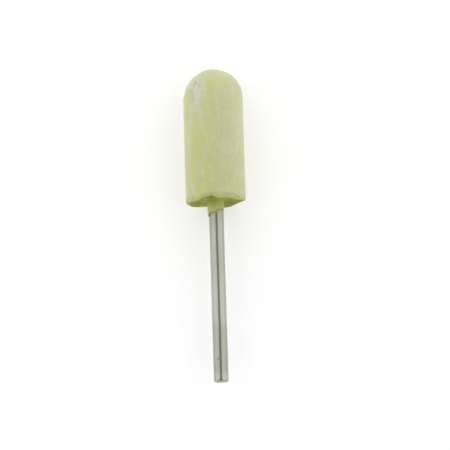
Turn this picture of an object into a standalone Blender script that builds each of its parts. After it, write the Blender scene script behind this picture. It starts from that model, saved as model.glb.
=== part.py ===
"""A polishing point: a round-ended head of moulded abrasive rubber on a ground steel shank.

The frame has +Z up and is in metres. The turning axis is the Y axis. The origin is the middle of
the shank's free end face, and the domed tip points along +Y. The point lies as it comes to rest,
on the side of its head, so the surface under it is one head radius below the axis.
"""

from math import atan2, cos, degrees, hypot, pi, radians, sin, tan

import bmesh
import bpy
from mathutils import Vector

MM = 0.001

# Driving sizes of the head
HEAD_DIAMETER = 9.6 * MM
HEAD_LENGTH = 21.6 * MM
RUBBER_OVER_GRIP = 6.7 * MM
RIM_EDGE_RADIUS = 0.22 * MM
RIM_CREST_WIDTH = 0.1 * MM
DISH_DEPTH = 0.45 * MM
DISH_SLOPE_WIDTH = 0.9 * MM

# Driving sizes of the collar, the skin of rubber that crept down the shank in the mould
COLLAR_LENGTH = 2.05 * MM
COLLAR_TORN_OFF = 0.6 * MM
COLLAR_TEAR_WIDTH = 0.5 * MM
COLLAR_WALL = 0.13 * MM
COLLAR_LIP_WALL = 0.08 * MM
COLLAR_OFF_CENTRE = 0.5
COLLAR_ROOT_FILLET = 0.35 * MM

# Driving sizes of the shank
SHANK_DIAMETER = 2.35 * MM
SHANK_FREE_LENGTH = 29.1 * MM
SHANK_END_ROUNDING = 0.3 * MM
GRIP_CHAMFER = 0.3 * MM
GROOVE_PITCH = 2.4 * MM
GROOVE_WIDTH = 1.1 * MM
GROOVE_DEPTH = 0.22 * MM
GROOVE_FROM_TIP = 1.5 * MM
PLAIN_GRIP_LENGTH = 3.6 * MM

# The rubber is moulded on the steel, and this is the clearance that keeps the two solids apart
MOULD_GAP = 0.03 * MM

# Lips and hollows of the rim, where the rubber was pressed out of the mould or torn off it.
# Angles are in degrees about the axis, from +X towards +Z, and a hollow has a negative height.
RIM_LIPS = (
    {"start": -8, "end": 98, "rise": 45, "fall": 13, "height": 0.4 * MM},
    {"start": 102, "end": 167, "rise": 34, "fall": 24, "height": 0.68 * MM},
    {"start": 152, "end": 250, "rise": 25, "fall": 34, "height": 0.27 * MM},
    {"start": 262, "end": 316, "rise": 20, "fall": 22, "height": 0.2 * MM},
    {"start": 300, "end": 362, "rise": 30, "fall": 22, "height": -0.22 * MM},
)
RIM_LIP_FADE = 1.6 * MM

# A flat worn on the shoulder of the dome
WORN_FLAT_DEPTH = 0.27 * MM
WORN_FLAT_TOWARDS = Vector((-0.54, 0.82, 0.16))

# Fineness of the facets
SEGMENTS = 64
DOME_STEPS = 14
FILLET_STEPS = 4
DISH_STEPS = 4
SIDE_STEPS = 4

HEAD_RADIUS = HEAD_DIAMETER / 2
SHANK_RADIUS = SHANK_DIAMETER / 2
BORE_RADIUS = SHANK_RADIUS + MOULD_GAP
COLLAR_RADIUS = BORE_RADIUS + COLLAR_WALL
BASE_Y = SHANK_FREE_LENGTH
HEAD_TIP_Y = BASE_Y + HEAD_LENGTH
DOME_CENTRE_Y = HEAD_TIP_Y - HEAD_RADIUS
GRIP_TIP_Y = HEAD_TIP_Y - RUBBER_OVER_GRIP
GROOVED_LENGTH = GRIP_TIP_Y - GROOVE_FROM_TIP - BASE_Y - PLAIN_GRIP_LENGTH
GROOVE_COUNT = 1 + max(0, int((GROOVED_LENGTH - GROOVE_WIDTH) / GROOVE_PITCH))
DISH_FLOOR_Y = BASE_Y + DISH_DEPTH
CREST_RADIUS = HEAD_RADIUS - RIM_EDGE_RADIUS - RIM_CREST_WIDTH


def clear_scene():
    for obj in list(bpy.data.objects):
        bpy.data.objects.remove(obj)


def smooth(share):
    """0 to 1 with level ends."""
    share = min(max(share, 0.0), 1.0)
    return share * share * (3 - 2 * share)


def arc(radius, along, size, start, end, steps):
    """Points of a profile on a round of this size, its angles in degrees from the outward radius."""
    points = []
    for i in range(steps + 1):
        angle = radians(start + (end - start) * i / steps)
        points.append((radius + size * cos(angle), along + size * sin(angle)))
    return points


def grip_profile():
    """Radius and place of the steel inside the head, from the base of the head to the grip's chamfer."""
    points = [(SHANK_RADIUS, BASE_Y)]
    side = GROOVE_DEPTH
    for i in reversed(range(GROOVE_COUNT)):
        end = GRIP_TIP_Y - GROOVE_FROM_TIP - i * GROOVE_PITCH
        start = end - GROOVE_WIDTH
        points += [
            (SHANK_RADIUS, start),
            (SHANK_RADIUS - GROOVE_DEPTH, start + side),
            (SHANK_RADIUS - GROOVE_DEPTH, end - side),
            (SHANK_RADIUS, end),
        ]
    points.append((SHANK_RADIUS, GRIP_TIP_Y - GRIP_CHAMFER))
    return points


def shank_profile():
    """The whole steel shank, from the middle of its free end to the middle of its grip end."""
    rounding = arc(
        SHANK_RADIUS - SHANK_END_ROUNDING, SHANK_END_ROUNDING, SHANK_END_ROUNDING, -90, 0, FILLET_STEPS
    )
    return [
        (0.0, 0.0),
        *rounding,
        *grip_profile(),
        (SHANK_RADIUS - GRIP_CHAMFER, GRIP_TIP_Y),
        (0.0, GRIP_TIP_Y),
    ]


def bore_profile():
    """The rubber's inner wall round the grip, from its blind end to the mouth of the collar."""
    mitre = MOULD_GAP * tan(pi / 8)
    blind_end_y = GRIP_TIP_Y + MOULD_GAP
    wall = [(radius + MOULD_GAP, y) for radius, y in grip_profile()]
    chamfer_end = (BORE_RADIUS, GRIP_TIP_Y - GRIP_CHAMFER + mitre)
    return [
        (0.0, blind_end_y),
        (SHANK_RADIUS - GRIP_CHAMFER + mitre, blind_end_y),
        chamfer_end,
        *reversed(wall[:-1]),
        (BORE_RADIUS, BASE_Y - COLLAR_LENGTH),
    ]


def collar_profile():
    """The collar's outside, from its thin lip to the fillet where it meets the floor of the dish."""
    fillet = arc(
        COLLAR_RADIUS + COLLAR_ROOT_FILLET,
        DISH_FLOOR_Y - COLLAR_ROOT_FILLET,
        COLLAR_ROOT_FILLET,
        180,
        90,
        FILLET_STEPS,
    )
    return [
        (BORE_RADIUS + COLLAR_LIP_WALL, BASE_Y - COLLAR_LENGTH),
        (COLLAR_RADIUS, BASE_Y - COLLAR_LENGTH / 2),
        *fillet,
    ]


def base_profile():
    """The dished base, from its floor up the inner slope to the crest of the rim and its rounded edge."""
    foot = CREST_RADIUS - DISH_SLOPE_WIDTH
    slope = []
    for i in range(DISH_STEPS):
        share = i / DISH_STEPS
        slope.append((foot + share * DISH_SLOPE_WIDTH, DISH_FLOOR_Y - DISH_DEPTH * smooth(share)))
    edge = arc(
        HEAD_RADIUS - RIM_EDGE_RADIUS, BASE_Y + RIM_EDGE_RADIUS, RIM_EDGE_RADIUS, -90, 0, FILLET_STEPS
    )
    return [*slope, (CREST_RADIUS, BASE_Y), *edge]


def side_profile():
    """The straight side above the rim, with its first rings close enough to carry the lips."""
    start = BASE_Y + RIM_EDGE_RADIUS
    return [(HEAD_RADIUS, start + RIM_LIP_FADE * i / SIDE_STEPS) for i in range(1, SIDE_STEPS + 1)]


def dome_profile():
    return arc(0.0, DOME_CENTRE_Y, HEAD_RADIUS, 0, 90, DOME_STEPS)[:-1] + [(0.0, HEAD_TIP_Y)]


def revolve(name, profile):
    """Turns a profile of (radius, place along the axis) about the Y axis into one closed mesh.

    The profile starts half a segment past straight down, so that a flat facet faces the ground."""
    half_segment = pi / SEGMENTS
    shape = bmesh.new()
    verts = [
        shape.verts.new((radius * sin(half_segment), y, -radius * cos(half_segment)))
        for radius, y in profile
    ]
    edges = [shape.edges.new(pair) for pair in zip(verts, verts[1:])]
    bmesh.ops.spin(
        shape,
        geom=verts + edges,
        cent=(0, 0, 0),
        axis=(0, 1, 0),
        angle=2 * pi,
        steps=SEGMENTS,
        use_merge=True,
    )
    bmesh.ops.remove_doubles(shape, verts=shape.verts, dist=MM * 1e-4)
    bmesh.ops.recalc_face_normals(shape, faces=shape.faces)
    mesh = bpy.data.meshes.new(name)
    shape.to_mesh(mesh)
    shape.free()
    obj = bpy.data.objects.new(name, mesh)
    bpy.context.scene.collection.objects.link(obj)
    return obj


def lip_height(angle):
    """How far the rim reaches past the nominal base at this angle, in degrees."""
    total = 0.0
    for lip in RIM_LIPS:
        past = (angle - lip["start"]) % 360
        span = lip["end"] - lip["start"]
        if past < span:
            total += lip["height"] * min(smooth(past / lip["rise"]), smooth((span - past) / lip["fall"]))
    return total


def rim_share(radius, y):
    """How much of a lip's height a point takes: all at the crest, none on the floor or up the side."""
    foot = CREST_RADIUS - DISH_SLOPE_WIDTH
    across = smooth((radius - foot) / DISH_SLOPE_WIDTH)
    up_the_side = smooth(1 - (y - BASE_Y - RIM_EDGE_RADIUS) / RIM_LIP_FADE)
    return across * up_the_side


def shape_rim(head):
    for vert in head.data.vertices:
        x, y, z = vert.co
        vert.co.y -= lip_height(degrees(atan2(z, x))) * rim_share(hypot(x, z), y)


def shape_collar(head):
    """The collar sits off centre, thickest on the -X side, and its edge is torn short on the +X side."""
    edge_y = BASE_Y - COLLAR_LENGTH
    for vert in head.data.vertices:
        x, y, z = vert.co
        wall = hypot(x, z) - BORE_RADIUS
        if y < BASE_Y and wall <= COLLAR_WALL * 1.001:
            torn = COLLAR_TORN_OFF * smooth(0.5 + x / COLLAR_TEAR_WIDTH)
            vert.co.y += torn * (BASE_Y - y) / (BASE_Y - edge_y)
        if y < DISH_FLOOR_Y and 0 < wall <= COLLAR_WALL + COLLAR_ROOT_FILLET:
            vert.co.x -= COLLAR_OFF_CENTRE * min(wall, COLLAR_WALL)


def wear_dome(head):
    """Presses every point that stands past the worn flat back onto it."""
    facing = WORN_FLAT_TOWARDS.normalized()
    centre = Vector((0, DOME_CENTRE_Y, 0))
    for vert in head.data.vertices:
        past = (vert.co - centre).dot(facing) - (HEAD_RADIUS - WORN_FLAT_DEPTH)
        if past > 0:
            vert.co -= facing * past


def finish(obj, colour, roughness, metallic):
    material = bpy.data.materials.new(obj.name)
    material.use_nodes = True
    shader = material.node_tree.nodes["Principled BSDF"]
    shader.inputs["Base Color"].default_value = (*colour, 1.0)
    shader.inputs["Roughness"].default_value = roughness
    shader.inputs["Metallic"].default_value = metallic
    obj.data.materials.append(material)
    obj.data.shade_smooth()
    obj.data.set_sharp_from_angle(angle=radians(30))


def make_polishing_head():
    head = revolve(
        "polishing_head",
        bore_profile() + collar_profile() + base_profile() + side_profile() + dome_profile(),
    )
    shape_rim(head)
    shape_collar(head)
    wear_dome(head)
    finish(head, colour=(0.50, 0.52, 0.27), roughness=0.75, metallic=0.0)


def make_steel_shank():
    shank = revolve("steel_shank", shank_profile())
    finish(shank, colour=(0.48, 0.49, 0.43), roughness=0.25, metallic=1.0)


def main():
    clear_scene()
    make_polishing_head()
    make_steel_shank()


main()
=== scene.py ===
# %% [markdown]
# # A rubber polishing point
# This lesson dresses a small rotary tool: a round-ended head of moulded abrasive rubber on a
# steel shank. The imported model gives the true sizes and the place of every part, so the first
# step is to load it and to read off the sizes that everything else is worked out from.

# %% Load the frame and read its sizes
from collections import namedtuple
from math import cos, hypot, pi, radians, sin

import bpy
from mathutils import Matrix, Vector


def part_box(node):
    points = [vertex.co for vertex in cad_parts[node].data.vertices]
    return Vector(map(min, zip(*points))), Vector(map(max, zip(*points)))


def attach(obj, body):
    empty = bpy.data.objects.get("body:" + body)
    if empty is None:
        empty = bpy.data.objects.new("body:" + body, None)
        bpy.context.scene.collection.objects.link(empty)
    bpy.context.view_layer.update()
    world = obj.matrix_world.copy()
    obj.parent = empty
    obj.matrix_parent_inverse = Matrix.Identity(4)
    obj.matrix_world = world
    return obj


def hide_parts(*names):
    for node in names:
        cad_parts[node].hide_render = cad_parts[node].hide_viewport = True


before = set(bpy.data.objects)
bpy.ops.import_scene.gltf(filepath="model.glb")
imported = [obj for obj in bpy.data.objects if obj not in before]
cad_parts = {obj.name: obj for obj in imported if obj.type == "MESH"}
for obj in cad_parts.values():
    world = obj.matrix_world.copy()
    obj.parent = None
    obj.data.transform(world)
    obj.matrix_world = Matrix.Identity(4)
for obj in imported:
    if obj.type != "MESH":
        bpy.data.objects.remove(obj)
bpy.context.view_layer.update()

MM = 0.001
head_low, head_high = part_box("polishing_head")
_, shank_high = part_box("steel_shank")
HEAD_RADIUS = head_high.x
TIP_Y = head_high.y
COLLAR_LENGTH = 2.05 * MM
BASE_Y = head_low.y + COLLAR_LENGTH
SHANK_RADIUS = shank_high.x
SHANK_LENGTH = shank_high.y
print(f"Head {2 * HEAD_RADIUS / MM:.2f} mm across and {(TIP_Y - BASE_Y) / MM:.1f} mm long,")
print(f"shank {2 * SHANK_RADIUS / MM:.2f} mm across and {SHANK_LENGTH / MM:.1f} mm long")

# %% [markdown]
# ## The camera
# The tool lies on a table and the photographer stands almost straight over it, a little towards
# the shank's end, so that the underside of the head just shows. A long lens from 0.4 m keeps the
# outlines nearly parallel. The camera is placed from three angles and one scale, which is easier
# to correct than a matrix: how far the view leans off the vertical, how far the picture is
# rolled, and how many millimetres one pixel covers at the tool.

# %% Aim the camera
FRAME_PIXELS = 450
CAMERA_DISTANCE = 0.4
CAMERA_ELEVATION = radians(78.8)
CAMERA_ROLL = radians(-1.75)
MM_PER_PIXEL = 0.1597
BASE_IN_FRAME = (215.95, 201.2)


def make_camera():
    back = Vector((0, -cos(CAMERA_ELEVATION), sin(CAMERA_ELEVATION)))
    roll = Matrix.Rotation(CAMERA_ROLL, 3, back)
    right = roll @ Vector((1, 0, 0))
    up = back.cross(right)
    pixel = MM_PER_PIXEL * MM
    across = FRAME_PIXELS / 2 - BASE_IN_FRAME[0]
    below = FRAME_PIXELS / 2 - BASE_IN_FRAME[1]
    aim = Vector((0, BASE_Y, 0)) + right * across * pixel - up * below * pixel
    data = bpy.data.cameras.new("camera")
    data.lens = data.sensor_width * CAMERA_DISTANCE / pixel / FRAME_PIXELS
    camera = bpy.data.objects.new("camera", data)
    turn = Matrix((right, up, back)).transposed().to_4x4()
    camera.matrix_world = Matrix.Translation(aim + back * CAMERA_DISTANCE) @ turn
    bpy.context.scene.collection.objects.link(camera)
    bpy.context.scene.camera = camera
    return camera


camera = make_camera()
print(f"Camera with a {camera.data.lens:.0f} mm lens")

# %% [markdown]
# ## Formulas in nodes
# Both the shapes and the finishes below are worked out by nodes, and most of them are plain
# sums. A sum in nodes takes many lines when each node is added by hand. This small class stands
# for one value in a tree and adds the Math node itself, so that a formula reads as on paper. It
# works in geometry trees and in materials alike.

# %% A value in a node tree


def plug(tree, value, socket):
    """Puts a number, a vector or another node's output into a socket."""
    if isinstance(value, Field):
        tree.links.new(value.socket, socket)
    elif isinstance(value, bpy.types.NodeSocket):
        tree.links.new(value, socket)
    else:
        socket.default_value = value


class Field:
    """One value in a node tree, on which sums can be written."""

    def __init__(self, tree, socket):
        self.tree = tree
        self.socket = socket

    def math(self, operation, *others):
        node = self.tree.nodes.new("ShaderNodeMath")
        node.operation = operation
        for value, socket in zip((self, *others), node.inputs):
            plug(self.tree, value, socket)
        return Field(self.tree, node.outputs[0])

    def __add__(self, other):
        return self.math("ADD", other)

    def __sub__(self, other):
        return self.math("SUBTRACT", other)

    def __mul__(self, other):
        return self.math("MULTIPLY", other)

    def __truediv__(self, other):
        return self.math("DIVIDE", other)

    def __mod__(self, other):
        return self.math("FLOORED_MODULO", other)

    def least(self, other):
        return self.math("MINIMUM", other)

    def most(self, other):
        return self.math("MAXIMUM", other)

    def ramp(self, start, end, low=0.0, high=1.0):
        """low up to start, high from end on, and a smooth step between them."""
        node = self.tree.nodes.new("ShaderNodeMapRange")
        node.interpolation_type = "SMOOTHSTEP"
        for value, socket in zip((self, start, end, low, high), node.inputs):
            plug(self.tree, value, socket)
        return Field(self.tree, node.outputs[0])


def add_node(tree, kind, inputs=(), **settings):
    """Adds a node with its settings, and fills its inputs, which are named or numbered."""
    node = tree.nodes.new(kind)
    for name, value in settings.items():
        setattr(node, name, value)
    for name, value in dict(inputs).items():
        plug(tree, value, node.inputs[name])
    return node


def split(tree, vector):
    """The three parts of a vector."""
    node = add_node(tree, "ShaderNodeSeparateXYZ", {0: vector})
    return [Field(tree, socket) for socket in node.outputs]


def combine(tree, x, y, z):
    return Field(tree, add_node(tree, "ShaderNodeCombineXYZ", {0: x, 1: y, 2: z}).outputs[0])


def vector_math(tree, operation, *values):
    node = add_node(tree, "ShaderNodeVectorMath", enumerate(values), operation=operation)
    return Field(tree, node.outputs["Value" if operation == "DOT_PRODUCT" else 0])


def scaled(tree, vector, amount):
    """A vector or a colour, times a number."""
    node = add_node(tree, "ShaderNodeVectorMath", {0: vector, "Scale": amount}, operation="SCALE")
    return Field(tree, node.outputs[0])


def noise(tree, vector, scale, detail=2.0, roughness=0.5, seed=0.0):
    """Noise from 0 to 1 about a half. The seed shifts it along its fourth axis."""
    inputs = {"Vector": vector, "W": seed, "Scale": scale, "Detail": detail, "Roughness": roughness}
    node = add_node(tree, "ShaderNodeTexNoise", inputs, noise_dimensions="4D")
    return Field(tree, node.outputs[0])


print("Ready to write formulas in nodes")

# %% [markdown]
# ## The outline of the head
# The real head is moulded in a round cavity, so its form is an outline turned about the shank.
# The outline is an open row of points, from the blind end of the hole that grips the shank,
# down to the collar's lip, out over the dished base and its rounded rim, up the side and over
# the dome. Straight runs are cut into short steps wherever the surface will be worn later.

# %% Draw the head's outline
STEP = 0.11 * MM
COARSE_STEP = 3.0 * MM
MOULD_GAP = 0.03 * MM
COLLAR_WALL = 0.13 * MM
COLLAR_LIP_WALL = 0.08 * MM
COLLAR_ROOT_FILLET = 0.35 * MM
RIM_EDGE_RADIUS = 0.22 * MM
RIM_CREST_WIDTH = 0.1 * MM
DISH_DEPTH = 0.45 * MM
DISH_SLOPE_WIDTH = 0.9 * MM
DISH_SLOPE_STEPS = 10
BORE_RADIUS = SHANK_RADIUS + MOULD_GAP
COLLAR_RADIUS = BORE_RADIUS + COLLAR_WALL
DISH_FLOOR_Y = BASE_Y + DISH_DEPTH
CREST_RADIUS = HEAD_RADIUS - RIM_EDGE_RADIUS - RIM_CREST_WIDTH
FOOT_RADIUS = CREST_RADIUS - DISH_SLOPE_WIDTH
DOME_CENTRE_Y = TIP_Y - HEAD_RADIUS


def run(start, end, step=STEP):
    """Points along a straight run, without its last one."""
    count = max(1, round(hypot(end[0] - start[0], end[1] - start[1]) / step))
    return [tuple(a + (b - a) * i / count for a, b in zip(start, end)) for i in range(count)]


def arc(centre, radius, start, end, step=STEP):
    """Points round an arc, both ends included, with angles in degrees from the outward radius."""
    count = max(3, round(abs(radians(end - start)) * radius / step))
    angles = [radians(start + (end - start) * i / count) for i in range(count + 1)]
    return [(centre[0] + radius * cos(a), centre[1] + radius * sin(a)) for a in angles]


def dish_slope():
    """From the foot of the slope to the crest of the rim, level at both ends."""
    shares = [i / DISH_SLOPE_STEPS for i in range(DISH_SLOPE_STEPS)]
    return [
        (FOOT_RADIUS + DISH_SLOPE_WIDTH * s, DISH_FLOOR_Y - DISH_DEPTH * s * s * (3 - 2 * s))
        for s in shares
    ]


def head_outline():
    blind_end_y = SHANK_LENGTH + MOULD_GAP
    mouth_y = head_low.y
    lip_radius = BORE_RADIUS + COLLAR_LIP_WALL
    root = (COLLAR_RADIUS + COLLAR_ROOT_FILLET, DISH_FLOOR_Y - COLLAR_ROOT_FILLET)
    edge = (HEAD_RADIUS - RIM_EDGE_RADIUS, BASE_Y + RIM_EDGE_RADIUS)
    return [
        (0.0, blind_end_y),
        *run((BORE_RADIUS, blind_end_y), (BORE_RADIUS, BASE_Y), COARSE_STEP),
        *run((BORE_RADIUS, BASE_Y), (BORE_RADIUS, mouth_y)),
        *run((BORE_RADIUS, mouth_y), (lip_radius, mouth_y), COLLAR_LIP_WALL / 2),
        *run((lip_radius, mouth_y), (COLLAR_RADIUS, BASE_Y - COLLAR_LENGTH / 2)),
        *run((COLLAR_RADIUS, BASE_Y - COLLAR_LENGTH / 2), (COLLAR_RADIUS, root[1])),
        *arc(root, COLLAR_ROOT_FILLET, 180, 90),
        *run((root[0] + STEP, DISH_FLOOR_Y), (FOOT_RADIUS, DISH_FLOOR_Y)),
        *dish_slope(),
        (CREST_RADIUS, BASE_Y),
        *arc(edge, RIM_EDGE_RADIUS, -90, 0, STEP / 2),
        *run((HEAD_RADIUS, edge[1] + STEP), (HEAD_RADIUS, DOME_CENTRE_Y)),
        *arc((0.0, DOME_CENTRE_Y), HEAD_RADIUS, 0, 90)[:-1],
        (0.0, TIP_Y),
    ]


print(f"The head's outline has {len(head_outline())} points")

# %% [markdown]
# ## Turning an outline
# A geometry tree does the turning, and the shank uses it too. It lays out a grid with one row
# for each step round the axis and one column for each point of the outline, looks up that
# point's radius and place by its number, and moves each vertex to where it belongs. The first
# and last rows then fall together, and so do the points on the axis, and a merge closes them.

# %% A tree that turns an outline about the Y axis
MERGE_WITHIN = 1e-7


def new_geometry_tree(name, sizes):
    """A geometry tree with named number inputs and two materials."""
    tree = bpy.data.node_groups.new(name, "GeometryNodeTree")
    tree.interface.new_socket(name="Geometry", in_out="INPUT", socket_type="NodeSocketGeometry")
    tree.interface.new_socket(name="Geometry", in_out="OUTPUT", socket_type="NodeSocketGeometry")
    for label in sizes:
        tree.interface.new_socket(name=label, in_out="INPUT", socket_type="NodeSocketFloat")
    for label in ("Material", "Second material"):
        tree.interface.new_socket(name=label, in_out="INPUT", socket_type="NodeSocketMaterial")
    source = tree.nodes.new("NodeGroupInput")
    fields = {label: Field(tree, source.outputs[label]) for label in sizes}
    return tree, source, fields


def end_tree(tree, source, geometry, second=False):
    """Every tree here ends the same way: real meshes, smooth faces and a material, or two."""
    real = add_node(tree, "GeometryNodeRealizeInstances", {"Geometry": geometry})
    smooth = add_node(tree, "GeometryNodeSetShadeSmooth", {"Geometry": real.outputs[0]})
    inputs = {"Geometry": smooth.outputs[0], "Material": source.outputs["Material"]}
    painted = add_node(tree, "GeometryNodeSetMaterial", inputs)
    inputs = {"Geometry": painted.outputs[0], "Selection": second}
    inputs["Material"] = source.outputs["Second material"]
    painted = add_node(tree, "GeometryNodeSetMaterial", inputs)
    tree.links.new(painted.outputs[0], tree.nodes.new("NodeGroupOutput").inputs[0])


def make_turning_tree():
    tree, source, size = new_geometry_tree("turn_outline", ["Segments"])
    count = add_node(tree, "GeometryNodeAttributeDomainSize", {"Geometry": source.outputs[0]})
    points = Field(tree, count.outputs["Point Count"])
    rows = size["Segments"] + 1
    grid = add_node(tree, "GeometryNodeMeshGrid", {"Vertices X": rows, "Vertices Y": points})
    index = Field(tree, tree.nodes.new("GeometryNodeInputIndex").outputs[0])
    row = (index / points).math("FLOOR")
    column = index - row * points
    position = tree.nodes.new("GeometryNodeInputPosition").outputs[0]
    inputs = {"Geometry": source.outputs[0], "Value": position, "Index": column}
    lookup = add_node(tree, "GeometryNodeSampleIndex", inputs, data_type="FLOAT_VECTOR")
    radius, along = split(tree, lookup.outputs[0])[:2]
    angle = row / size["Segments"] * (2 * pi)
    place = combine(tree, radius * angle.math("COSINE"), along, radius * angle.math("SINE"))
    inputs = {"Geometry": grid.outputs[0], "Position": place}
    turned = add_node(tree, "GeometryNodeSetPosition", inputs)
    inputs = {"Geometry": turned.outputs[0], "Distance": MERGE_WITHIN}
    closed = add_node(tree, "GeometryNodeMergeByDistance", inputs)
    outward = add_node(tree, "GeometryNodeFlipFaces", {0: closed.outputs[0]})
    end_tree(tree, source, outward.outputs[0])
    return tree


def add_tree(obj, tree, values):
    """Puts a tree on an object and sets its inputs by the socket's identifier."""
    modifier = obj.modifiers.new(tree.name, "NODES")
    modifier.node_group = tree
    for socket in tree.interface.items_tree:
        if socket.in_out == "INPUT" and socket.name in values:
            modifier[socket.identifier] = values[socket.name]


def outline_object(name, outline):
    mesh = bpy.data.meshes.new(name)
    steps = [(i, i + 1) for i in range(len(outline) - 1)]
    mesh.from_pydata([(radius, along, 0.0) for radius, along in outline], steps, [])
    obj = bpy.data.objects.new(name, mesh)
    bpy.context.scene.collection.objects.link(obj)
    return obj


def plain_mesh(obj):
    """Replaces an object's mesh by what its trees make, and removes the trees."""
    ready = obj.evaluated_get(bpy.context.evaluated_depsgraph_get())
    mesh = bpy.data.meshes.new_from_object(ready)
    obj.modifiers.clear()
    obj.data = mesh
    print(f"{obj.name}: {len(mesh.polygons)} faces")
    return obj


turning_tree = make_turning_tree()
print(f"The turning tree has {len(turning_tree.nodes)} nodes")

# %% [markdown]
# ## What the mould and the work did to the head
# A second tree takes the perfect turned head and spoils it in the order in which it happened.
# First the mould: rubber was pressed out along part of the rim and torn off along the rest, and
# the collar crept further down one side of the shank. Then the work: one shoulder of the dome is
# worn down in three flats, while the other stayed a little fuller, and the side has fissures,
# pits and shallow dents. Each one is a named size or an entry in a short list, and each is a move
# of the vertices, because these shapes show in outline and in shadow, where a bump in the
# material would not. First come the sizes and the few steps that all of these moves share.

# %% The head's sizes, and how a vertex moves
HEAD_SIZES = {
    "Head radius": HEAD_RADIUS / MM,
    "Base": BASE_Y / MM,
    "Dome centre": DOME_CENTRE_Y / MM,
    "Rim edge": RIM_EDGE_RADIUS / MM,
    "Rim fade": 1.6,
    "Foot radius": FOOT_RADIUS / MM,
    "Slope width": DISH_SLOPE_WIDTH / MM,
    "Dish depth": DISH_DEPTH / MM,
    "Bore radius": BORE_RADIUS / MM,
    "Collar wall": COLLAR_WALL / MM,
    "Collar fillet": COLLAR_ROOT_FILLET / MM,
    "Collar length": COLLAR_LENGTH / MM,
    "Torn off": 0.6,
    "Tear width": 0.5,
    "Worn depth": 0.27,
}
SEED = 7.0

Place = namedtuple("Place", "point x y z radius angle")


def move(tree, geometry, offset_mm):
    """Moves every vertex by a vector in millimetres."""
    offset = vector_math(tree, "MULTIPLY", offset_mm, (MM, MM, MM))
    node = add_node(tree, "GeometryNodeSetPosition", {"Geometry": geometry, "Offset": offset})
    return node.outputs[0]


def store(tree, geometry, name, value):
    """Keeps a value on the vertices under a name that the material can read."""
    inputs = {"Geometry": geometry, "Name": name, "Value": value}
    node = add_node(tree, "GeometryNodeStoreNamedAttribute", inputs, domain="POINT")
    return node.outputs[0]


def place_fields(tree):
    """Position in millimetres, its parts, the distance from the axis and the angle about it."""
    position = tree.nodes.new("GeometryNodeInputPosition").outputs[0]
    point = vector_math(tree, "MULTIPLY", position, (1 / MM, 1 / MM, 1 / MM))
    x, y, z = split(tree, point)
    radius = (x * x + z * z).math("SQRT")
    return Place(point, x, y, z, radius, z.math("ARCTAN2", x) * (180 / pi))


print(f"{len(HEAD_SIZES)} sizes for the head, and a seed of {SEED:.0f} for its noise")

# %% [markdown]
# ### The rim
# Seen from below, the rim is a ring of lips, where rubber was pressed out of the mould, with one
# stretch where it was torn off short. A lip rises over some degrees and falls over some others,
# so five numbers say all of it. It fades out up the side and down the slope of the dish.

# %% The rim's lips
# Angles are in degrees about the axis, from the right of the picture over the top, and heights in
# millimetres. Here and below, a group of two or four numbers is a ramp along some measure: where
# it starts, where it ends, and, if they aren't 0 and 1, its value before and after.
RIM_LIPS = (
    {"start": -8, "end": 98, "rise": 45, "fall": 13, "height": 0.40},
    {"start": 98, "end": 167, "rise": 38, "fall": 24, "height": 0.68},
    {"start": 152, "end": 250, "rise": 25, "fall": 34, "height": 0.27},
    {"start": 262, "end": 316, "rise": 20, "fall": 22, "height": 0.20},
    {"start": 300, "end": 362, "rise": 30, "fall": 22, "height": -0.22},
)
RIM_RIPPLES = (
    {"start": 28, "end": 60, "rise": 14, "fall": 14, "height": 0.12},
    {"start": 70, "end": 90, "rise": 9, "fall": 8, "height": 0.09},
    {"start": 89, "end": 116, "rise": 8, "fall": 14, "height": 0.08},
)
RIM_TEAR = 0.16
RIM_TEAR_GRAIN = {"scale": 2.0, "detail": 5.0, "roughness": 0.65}


def lip_height(angle):
    total = None
    for lip in RIM_LIPS + RIM_RIPPLES:
        past = (angle - lip["start"]) % 360.0
        span = lip["end"] - lip["start"]
        rise = past.ramp(0.0, float(lip["rise"]))
        fall = past.ramp(float(span - lip["fall"]), float(span), 1.0, 0.0)
        lip_here = rise.least(fall) * lip["height"]
        total = lip_here if total is None else total + lip_here
    return total


def shape_rim(tree, geometry, size):
    here = place_fields(tree)
    across = (here.radius - size["Foot radius"]) / size["Slope width"]
    up = (here.y - size["Base"] - size["Rim edge"]) / size["Rim fade"]
    share = across.ramp(0.0, 1.0) * up.ramp(0.0, 1.0, 1.0, 0.0)
    torn = (noise(tree, here.point, seed=SEED, **RIM_TEAR_GRAIN) - 0.5) * RIM_TEAR
    down = (lip_height(here.angle) + torn) * share
    return move(tree, geometry, combine(tree, 0.0, down * -1.0, 0.0))


print(f"{len(RIM_LIPS)} lips and {len(RIM_RIPPLES)} ripples along the rim")

# %% [markdown]
# ### The collar
# The collar crept down the shank. It is thicker on one side, because the shank didn't sit quite
# in the middle of the mould, and it was torn off shorter on the right than on the left, where a
# narrow flap hangs down. Both are moves of the turned tube: one aside, and one along it that
# grows towards its lower edge.

# %% The collar's torn edge
COLLAR_OFF_CENTRE = 0.5
COLLAR_TEAR_GRAIN = {"scale": 1.6}
COLLAR_TEAR_EDGE = (-0.5, 0.5)
COLLAR_LEFT_STRIP = (-1.15, -0.85, 0.0, 0.3)
COLLAR_LEFT_FLAP = (-1.3, -0.95, 0.45, 0.0)
WALL_SLACK = 1.05


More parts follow.
